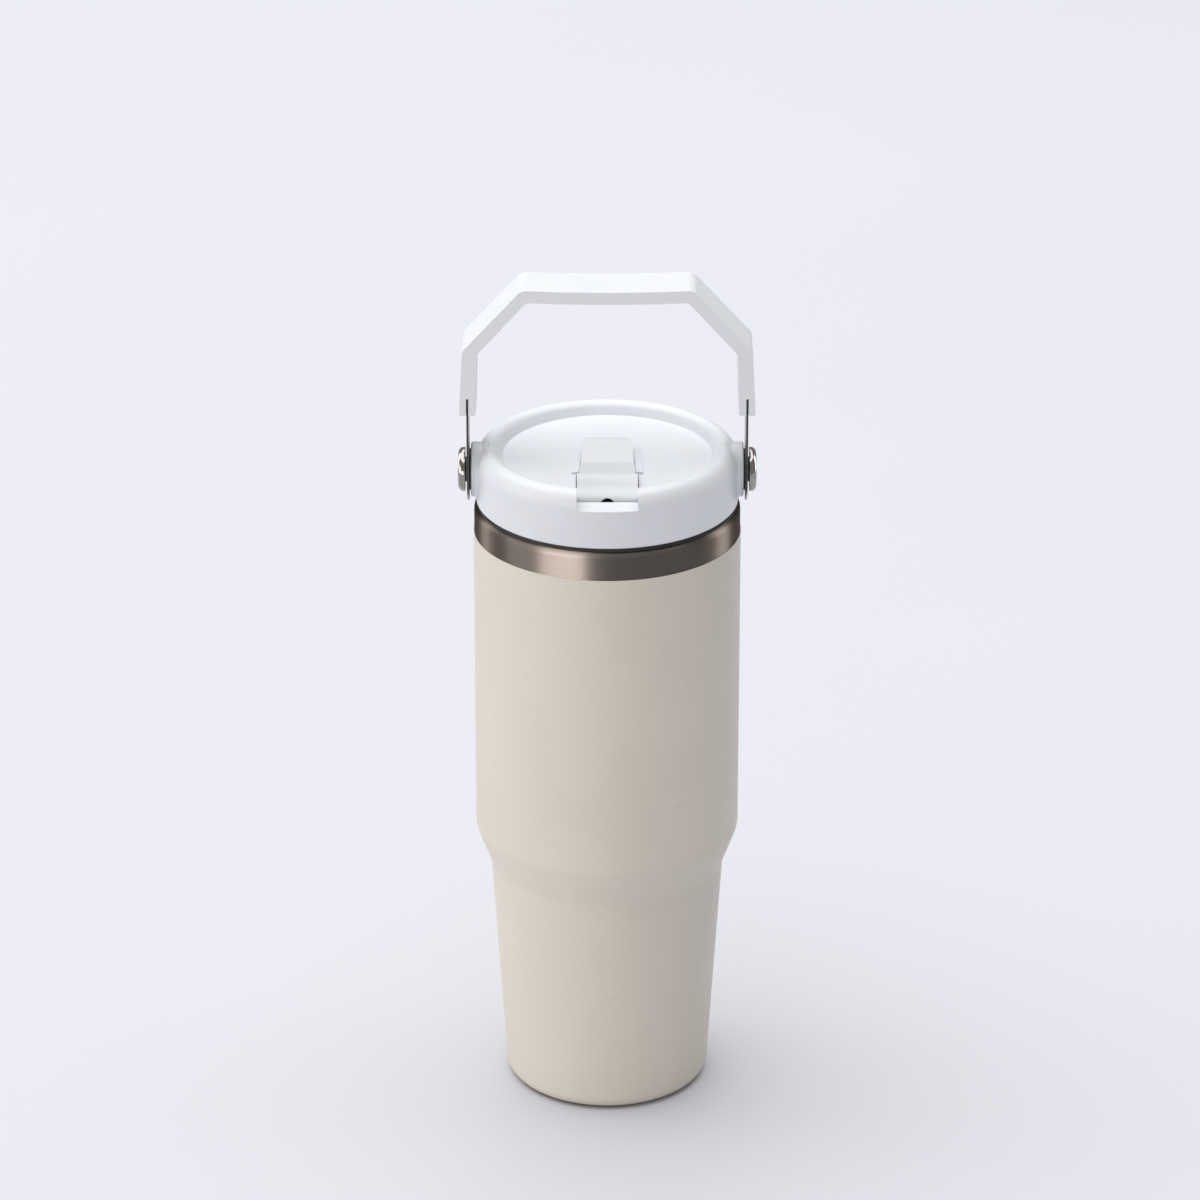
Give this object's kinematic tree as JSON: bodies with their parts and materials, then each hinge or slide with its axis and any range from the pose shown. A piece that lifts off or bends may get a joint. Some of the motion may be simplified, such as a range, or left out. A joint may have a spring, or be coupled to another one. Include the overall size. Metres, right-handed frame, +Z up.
{
  "type": "insulated tumbler with lid",
  "caption": "Double-wall vacuum-insulated tumbler with a screw-in flip-spout straw lid and a swinging carry handle.",
  "frame": {"origin": "centre of the standing ring, on the ground plane", "axes": "+Z up along the cup's axis, spout pivot on the -Y side, carry handle spans X"},
  "size_m": [0.1002, 0.09, 0.2931],
  "materials": {
    "coat": "cream powder coat, fine satin texture",
    "steel": "brushed around the axis",
    "lid_plastic": "satin moulded",
    "spout_plastic": "satin moulded",
    "grip_plastic": "soft-touch overmould",
    "dark_rubber": "matt",
    "clear_silicone": "translucent matt",
    "straw_plastic": "frosted translucent",
    "strap_steel": "fine brushed",
    "pin_steel": "ground",
    "chrome": "polished",
    "washer": "dark nylon, matt",
    "brass": "knurled",
    "getter": "sintered",
    "sealant": "solder glass"
  },
  "bodies": {
    "tumbler": {"outer_shell": "steel", "powder_coat": "coat", "inner_liner": "steel", "vacuum_base": "steel", "getter": "getter", "sealing_bead": "sealant", "base_cap": "dark_rubber"},
    "gasket": {"lid_gasket": "dark_rubber"},
    "lid": {"lid_cover": "lid_plastic", "lid_plug": "lid_plastic", "vent_valve": "dark_rubber", "left_spout_pin": "pin_steel", "right_spout_pin": "pin_steel", "spout_seal": "clear_silicone", "straw_connector": "lid_plastic", "straw": "straw_plastic", "left_inner_washer": "washer", "right_inner_washer": "washer", "left_outer_washer": "washer", "right_outer_washer": "washer", "left_pivot_screw": "chrome", "right_pivot_screw": "chrome", "left_threaded_insert": "brass", "right_threaded_insert": "brass"},
    "spout": {"flip_spout": "spout_plastic"},
    "handle": {"handle_grip": "grip_plastic", "left_handle_strap": "strap_steel", "right_handle_strap": "strap_steel"}
  },
  "joints": [
    {"name": "lid_lift", "type": "slide", "parent": "tumbler", "child": "gasket", "axis": [0, 0, 1], "range_m": [0, 0.22]},
    {"name": "lid_turn", "type": "hinge", "parent": "gasket", "child": "lid", "pos_m": [0, 0, 0.21565], "axis": [0, 0, 1], "range_deg": [0, 240]},
    {"name": "spout_flip", "type": "hinge", "parent": "lid", "child": "spout", "pos_m": [0, -0.026, 0.2267], "axis": [1, 0, 0], "range_deg": [0, 90]},
    {"name": "handle_swing", "type": "hinge", "parent": "lid", "child": "handle", "pos_m": [0, 0, 0.226], "axis": [1, 0, 0], "range_deg": [-120, 120]}
  ]
}
